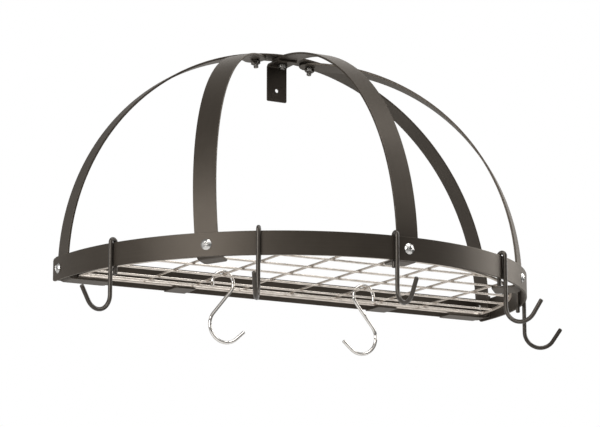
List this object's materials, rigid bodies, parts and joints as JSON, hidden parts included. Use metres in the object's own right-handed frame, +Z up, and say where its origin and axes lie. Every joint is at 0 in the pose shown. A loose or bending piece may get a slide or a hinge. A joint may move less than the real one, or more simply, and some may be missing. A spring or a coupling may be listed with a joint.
{
  "type": "hanging pot rack",
  "caption": "Wall-mounted half-dome pot rack of flat bar, with a loose wire shelf, rod hooks that slide round the rim and S-hooks under the shelf.",
  "frame": {"origin": "middle of the wall bracket's screw hole, on the face of the wall", "axes": "+X along the wall to the right as seen from the room, +Y into the wall, +Z up; the rack stands on the -Y side of the wall face"},
  "size_m": [0.8269, 0.4658, 0.4942],
  "materials": {
    "flat_bar": "satin",
    "screws": "satin",
    "shelf_wire": "polished",
    "hook_rod": "satin",
    "s_hook_rod": "polished"
  },
  "bodies": {
    "rack": {"rim_band": "flat_bar", "back_bar": "flat_bar", "shelf_tab_left": "flat_bar", "shelf_tab_right": "flat_bar", "wall_arch": "flat_bar", "front_strap_left": "flat_bar", "front_strap_centre": "flat_bar", "front_strap_right": "flat_bar", "wall_bracket": "flat_bar", "rim_bolts": "screws", "rim_nuts": "screws", "crown_bolts": "screws", "crown_nuts": "screws"},
    "shelf": {"shelf_frame": "shelf_wire", "shelf_long_wires": "shelf_wire", "shelf_cross_wires": "shelf_wire"},
    "hook_1": {"rim_hook_1": "hook_rod"},
    "hook_2": {"rim_hook_2": "hook_rod"},
    "hook_3": {"rim_hook_3": "hook_rod"},
    "hook_4": {"rim_hook_4": "hook_rod"},
    "hook_5": {"rim_hook_5": "hook_rod"},
    "s_hook_1": {"s_hook_1": "s_hook_rod"},
    "s_hook_2": {"s_hook_2": "s_hook_rod"}
  },
  "joints": [
    {"name": "shelf_lift", "type": "slide", "parent": "rack", "child": "shelf", "axis": [0, 0, 1], "range_m": [0, 0.06]},
    {"name": "hook_1_slide_round_rim", "type": "hinge", "parent": "rack", "child": "hook_1", "pos_m": [0, -0.0217, -0.32659], "axis": [0, 0, -1], "range_deg": [-19.5, 17.5]},
    {"name": "hook_2_slide_round_rim", "type": "hinge", "parent": "rack", "child": "hook_2", "pos_m": [0, -0.0217, -0.32659], "axis": [0, 0, -1], "range_deg": [-13, 7.3]},
    {"name": "hook_3_slide_round_rim", "type": "hinge", "parent": "rack", "child": "hook_3", "pos_m": [0, -0.0217, -0.32659], "axis": [0, 0, -1], "range_deg": [0, 13]},
    {"name": "hook_4_slide_round_rim", "type": "hinge", "parent": "rack", "child": "hook_4", "pos_m": [0, -0.0217, -0.32659], "axis": [0, 0, -1], "range_deg": [-9.8, 26.5]},
    {"name": "hook_5_slide_round_rim", "type": "hinge", "parent": "rack", "child": "hook_5", "pos_m": [0, -0.0217, -0.32659], "axis": [0, 0, -1], "range_deg": [-18.3, 18.5]},
    {"name": "s_hook_1_swing", "type": "hinge", "parent": "shelf", "child": "s_hook_1", "pos_m": [-0.163, -0.136, -0.33499], "axis": [0, 1, 0], "range_deg": [-25, 25]},
    {"name": "s_hook_2_swing", "type": "hinge", "parent": "shelf", "child": "s_hook_2", "pos_m": [0.08, -0.136, -0.33499], "axis": [0, 1, 0], "range_deg": [-25, 25]}
  ]
}
